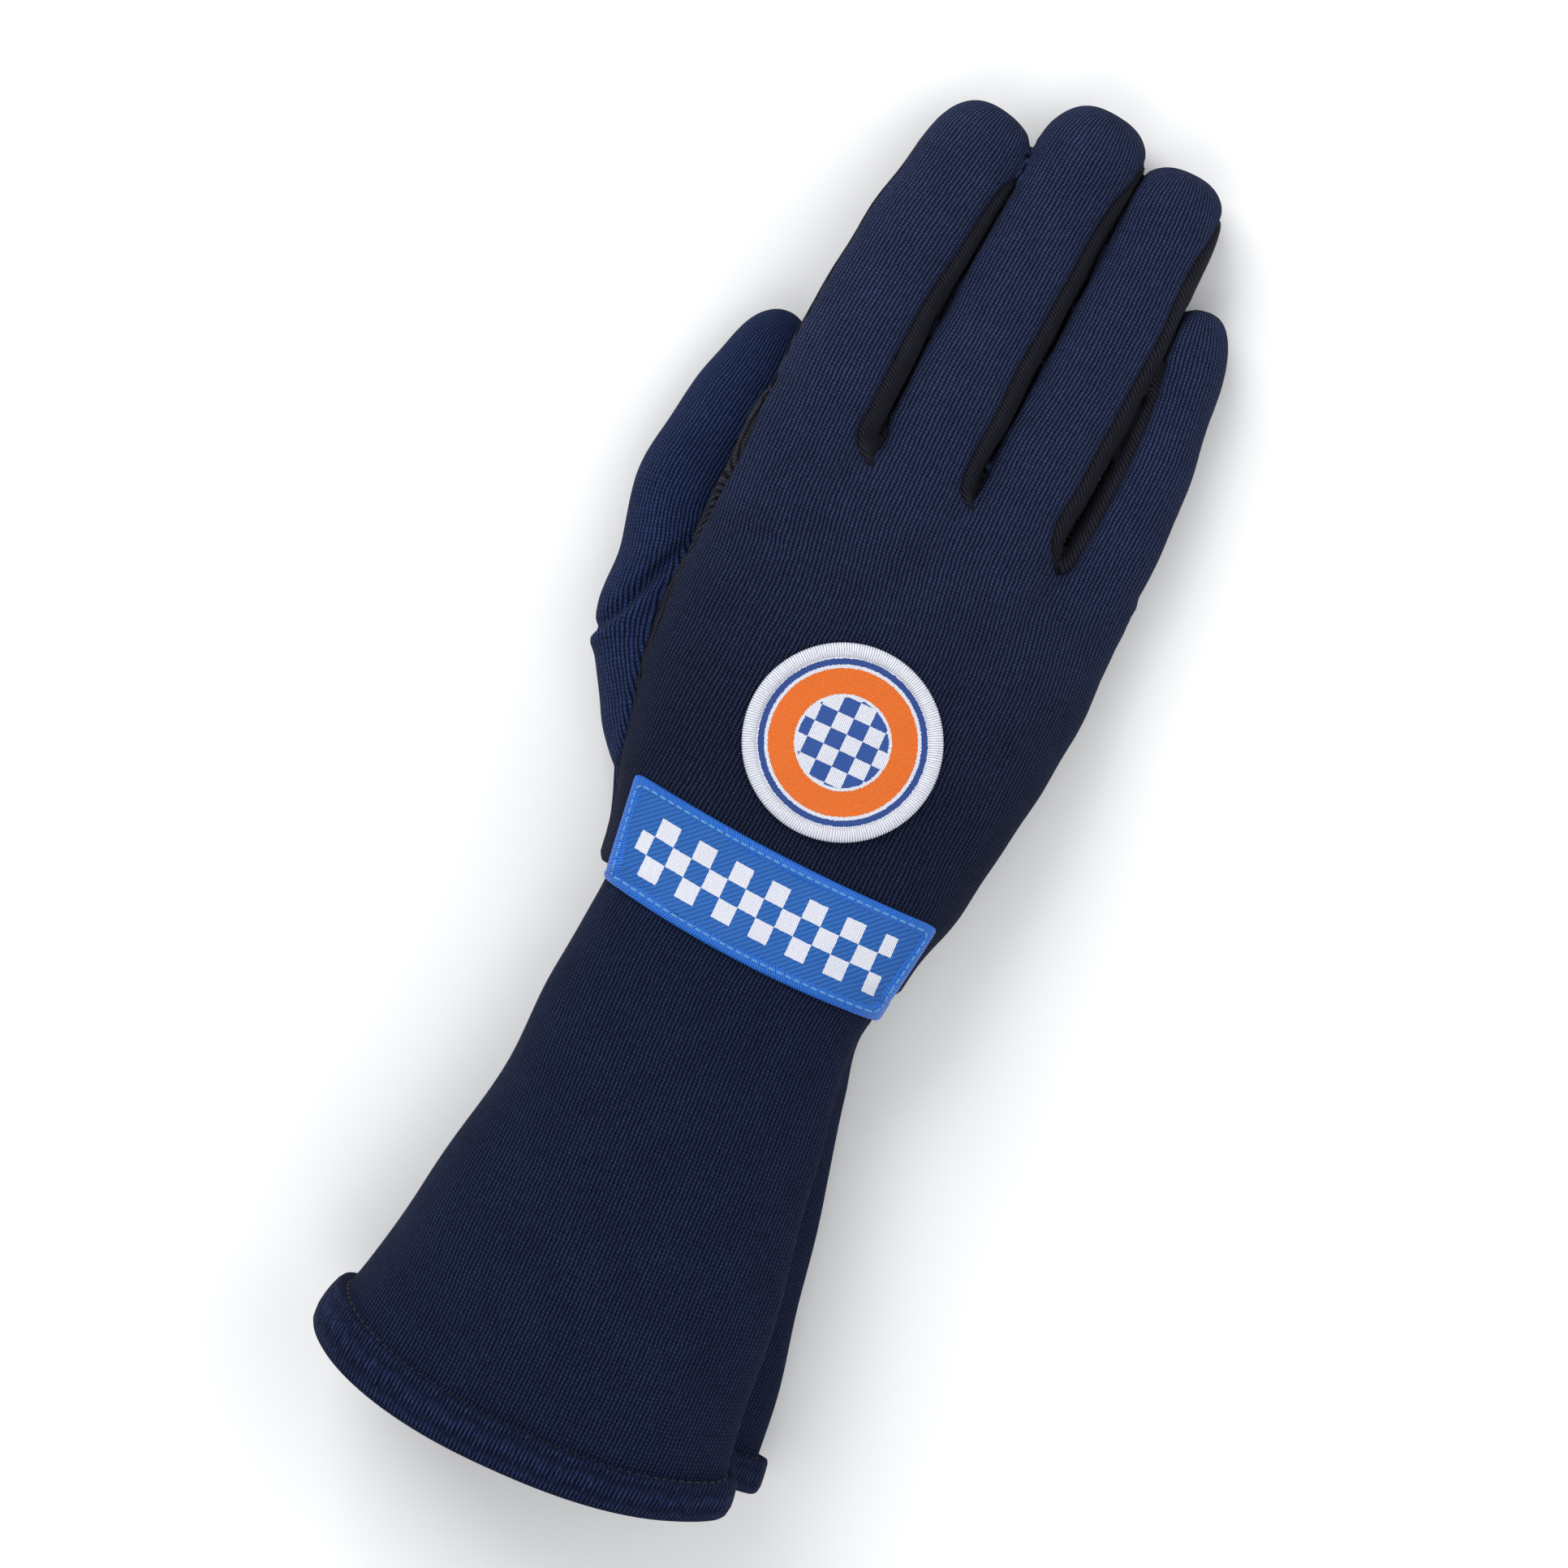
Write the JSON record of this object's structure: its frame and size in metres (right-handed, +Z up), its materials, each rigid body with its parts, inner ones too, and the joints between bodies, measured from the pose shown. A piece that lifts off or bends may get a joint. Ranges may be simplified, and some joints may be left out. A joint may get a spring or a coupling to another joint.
{
  "type": "racing glove",
  "caption": "Right-hand knitted racing glove with long gauntlet cuff, strips between the fingers, wrist patch and round badge, lying palm down.",
  "frame": {"origin": "centre of the bounding box, on the surface that the glove lies on", "axes": "+Y towards the fingertips, +Z up out of the back of the hand, thumb on the -X side"},
  "size_m": [0.1222, 0.3352, 0.0598],
  "materials": {
    "navy_knit": "matt double knit with fine ribs and specks of lint",
    "charcoal_knit": "matt knit",
    "fourchette_knit": "fine ribbed knit",
    "patch_twill": "diagonal twill with embroidered motif",
    "patch_border": "satin stitched border",
    "badge_thread": "satin stitched embroidery",
    "badge_edge_thread": "overlocked edge"
  },
  "bodies": {
    "root": {"back_panel": "navy_knit", "palm_panel": "charcoal_knit", "fourchette_index_middle": "fourchette_knit", "fourchette_middle_ring": "fourchette_knit", "fourchette_ring_little": "fourchette_knit", "thumb_back": "navy_knit", "thumb_front": "charcoal_knit", "cuff": "navy_knit", "cuff_hem": "navy_knit", "wrist_patch": "patch_twill", "wrist_patch_border": "patch_border", "badge": "badge_thread", "badge_edge": "badge_edge_thread"}
  },
  "joints": []
}
